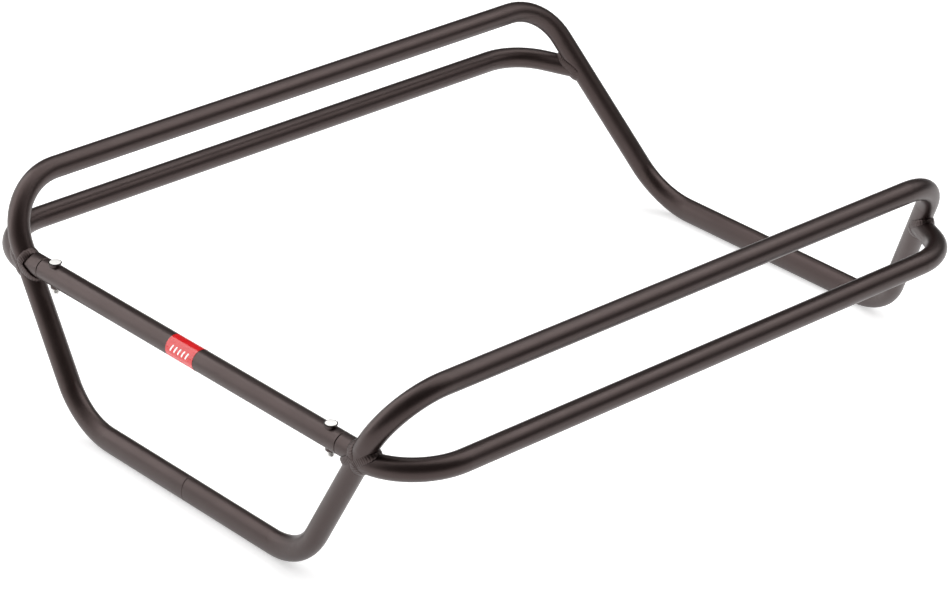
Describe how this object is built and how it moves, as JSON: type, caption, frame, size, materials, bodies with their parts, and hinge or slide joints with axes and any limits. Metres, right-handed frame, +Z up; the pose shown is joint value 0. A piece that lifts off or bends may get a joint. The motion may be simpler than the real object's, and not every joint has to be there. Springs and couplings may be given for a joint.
{
  "type": "rear rack",
  "caption": "Rear cargo rack of welded tube: a tapered open hoop with outer side rails and a bolted-in crossbar carrying a small label.",
  "frame": {"origin": "middle of the rack's footprint, on the surface that it stands on", "axes": "+X forward along the rails, towards the sloping front; +Y to the rack's left; +Z up"},
  "size_m": [0.5912, 0.4686, 0.1718],
  "materials": {
    "powder_coat": "satin dark brown-grey powder coat",
    "bare_aluminium": "bare drawn aluminium, hidden inside the tubes",
    "bolt_steel": "bright plated steel",
    "label_film": "glossy red film with a plain white stripe mark"
  },
  "bodies": {
    "rack": {"hoop_left": "powder_coat", "hoop_right": "powder_coat", "side_rail_left": "powder_coat", "side_rail_right": "powder_coat", "crossbar_stub_left": "powder_coat", "crossbar_stub_right": "powder_coat", "crossbar_spigot_left": "bare_aluminium", "crossbar_spigot_right": "bare_aluminium", "threaded_boss_left": "powder_coat", "threaded_boss_right": "powder_coat", "weld_rail_rear_left": "powder_coat", "weld_rail_rear_right": "powder_coat", "weld_rail_front_left": "powder_coat", "weld_rail_front_right": "powder_coat", "weld_stub_left": "powder_coat", "weld_stub_right": "powder_coat", "hoop_sleeve_rear": "bare_aluminium", "hoop_sleeve_front": "bare_aluminium", "crossbar": "powder_coat", "crossbar_label": "label_film"},
    "bolt_left": {"saddle_washer_left": "powder_coat", "clamp_bolt_left": "bolt_steel"},
    "bolt_right": {"saddle_washer_right": "powder_coat", "clamp_bolt_right": "bolt_steel"}
  },
  "joints": [
    {"name": "bolt_left_withdraw", "type": "slide", "parent": "rack", "child": "bolt_left", "axis": [0, 0, 1], "range_m": [0, 0.026]},
    {"name": "bolt_right_withdraw", "type": "slide", "parent": "rack", "child": "bolt_right", "axis": [0, 0, 1], "range_m": [0, 0.026]}
  ]
}
